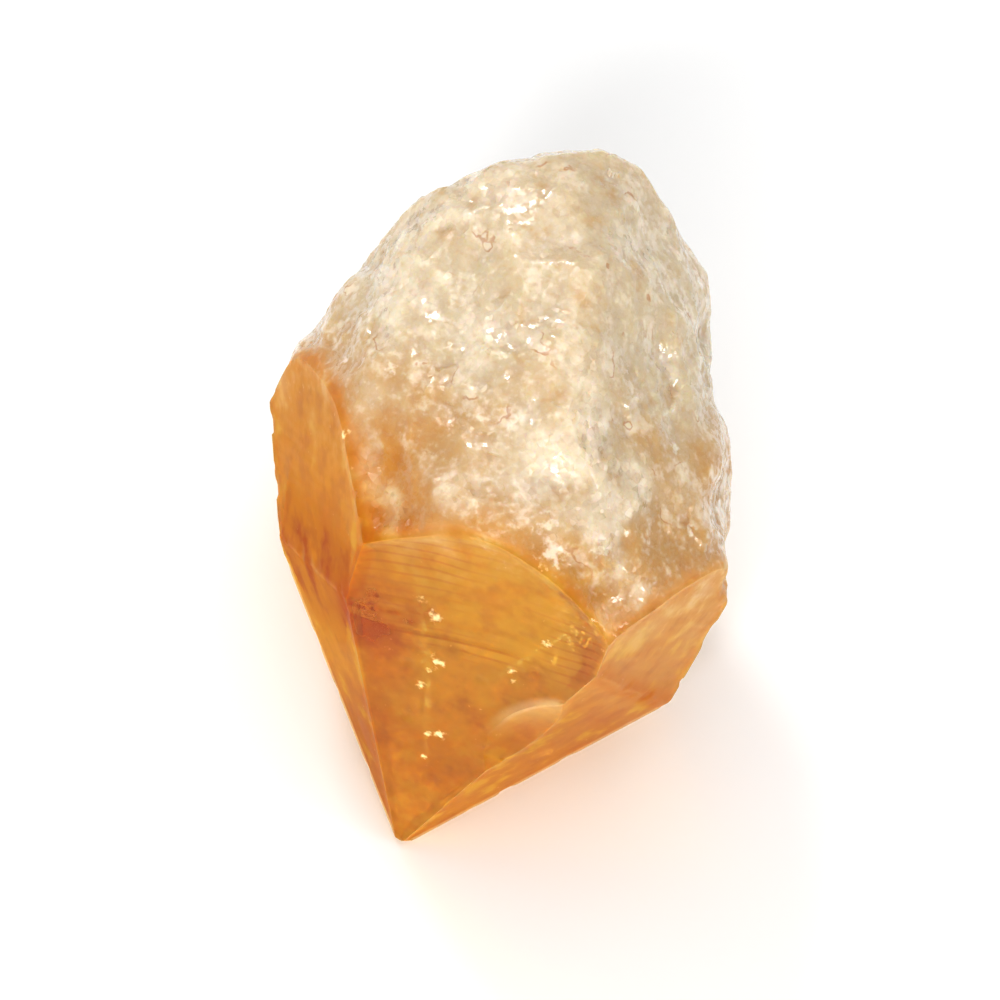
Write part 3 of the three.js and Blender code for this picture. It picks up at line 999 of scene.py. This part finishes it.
floor.data.materials.append(paper)
print("floor:", FLOOR_SIZE, "m wide")

# %% [markdown]
# ## Camera
# The camera looks down on the stone from its tip end, and is rolled a little. A long lens from
# further off keeps the near end from looking too large. It is aimed at the middle of what it
# sees: the stone's extent is measured along the camera's own right, up and back.

# %% Aim the camera
CAMERA_AZIMUTH, CAMERA_ELEVATION, CAMERA_ROLL = (math.radians(a) for a in (11, 60, -12))
CAMERA_LENS, CAMERA_DISTANCE = 200, 0.27
view_back = np.array([math.sin(CAMERA_AZIMUTH) * math.cos(CAMERA_ELEVATION),
                      -math.cos(CAMERA_AZIMUTH) * math.cos(CAMERA_ELEVATION),
                      math.sin(CAMERA_ELEVATION)])
level_right = np.array([math.cos(CAMERA_AZIMUTH), math.sin(CAMERA_AZIMUTH), 0])
level_up = np.cross(view_back, level_right)
right = math.cos(CAMERA_ROLL) * level_right - math.sin(CAMERA_ROLL) * level_up
up = math.sin(CAMERA_ROLL) * level_right + math.cos(CAMERA_ROLL) * level_up
camera = bpy.data.objects.new("camera", bpy.data.cameras.new("camera"))
bpy.context.scene.collection.objects.link(camera)
camera.data.lens = CAMERA_LENS
seen = in_frame(surface.reshape(-1, 3))
rightward, upward = seen @ right, seen @ up
aim = (right * (rightward.min() + rightward.max()) / 2 + up * (upward.min() + upward.max()) / 2
       + view_back * (seen @ view_back).mean())
standpoint = np.eye(4)
standpoint[:3, :3] = np.stack([right, up, view_back], 1)
standpoint[:3, 3] = aim + view_back * CAMERA_DISTANCE
camera.matrix_world = Matrix(standpoint.tolist())
camera.data.clip_start, camera.data.clip_end = 0.01, 10
bpy.context.scene.camera = camera
bpy.context.scene.view_settings.view_transform = "Standard"
bpy.context.scene.view_settings.gamma = 0.8
bpy.context.scene.view_settings.exposure = 0.12
print("camera looks at, in mm:", np.round(aim * 1000, 1).tolist())

# %% [markdown]
# ## Lights
# Two wide soft lights keep the stone plain to read, and a pale world fills its shadows. Three
# small lamps are added, because a small lamp gives a crisp glint where a wide one gives a blur.


# %% Hang the lights
def softbox(name, place, size, power, target=(0, 0, 0.01)):
    """A square area light at a place in metres, turned to the target."""
    lamp = bpy.data.lights.new(name, "AREA")
    lamp.size, lamp.energy = size, power
    holder = bpy.data.objects.new(name, lamp)
    bpy.context.scene.collection.objects.link(holder)
    back = np.array(place, float) - target
    back /= np.linalg.norm(back)
    side = np.cross([0, 0, 1], back)
    side /= np.linalg.norm(side)
    turned = np.eye(4)
    turned[:3, :3] = np.stack([side, np.cross(back, side), back], 1)
    turned[:3, 3] = place
    holder.matrix_world = Matrix(turned.tolist())


LIGHTS = [  # name, place, size in metres, power in watts
    ("overhead", (-0.10, 0.15, 0.90), 0.9, 3.6),
    ("key", (-0.35, 0.30, 0.45), 0.13, 1.2),
    ("front_fill", (0.15, -0.75, 0.40), 0.6, 4.4),
    ("front_sparkle", (-0.05, -0.55, 0.50), 0.10, 0.8),
    ("right_sparkle", (0.55, 0.05, 0.22), 0.12, 0.6),
]
for light in LIGHTS:
    softbox(*light)
world = bpy.data.worlds.new("studio")
world.use_nodes = True
world.node_tree.nodes["Background"].inputs["Color"].default_value = (1, 1, 1, 1)
world.node_tree.nodes["Background"].inputs["Strength"].default_value = 0.3
bpy.context.scene.world = world
print("lights:", len(LIGHTS))
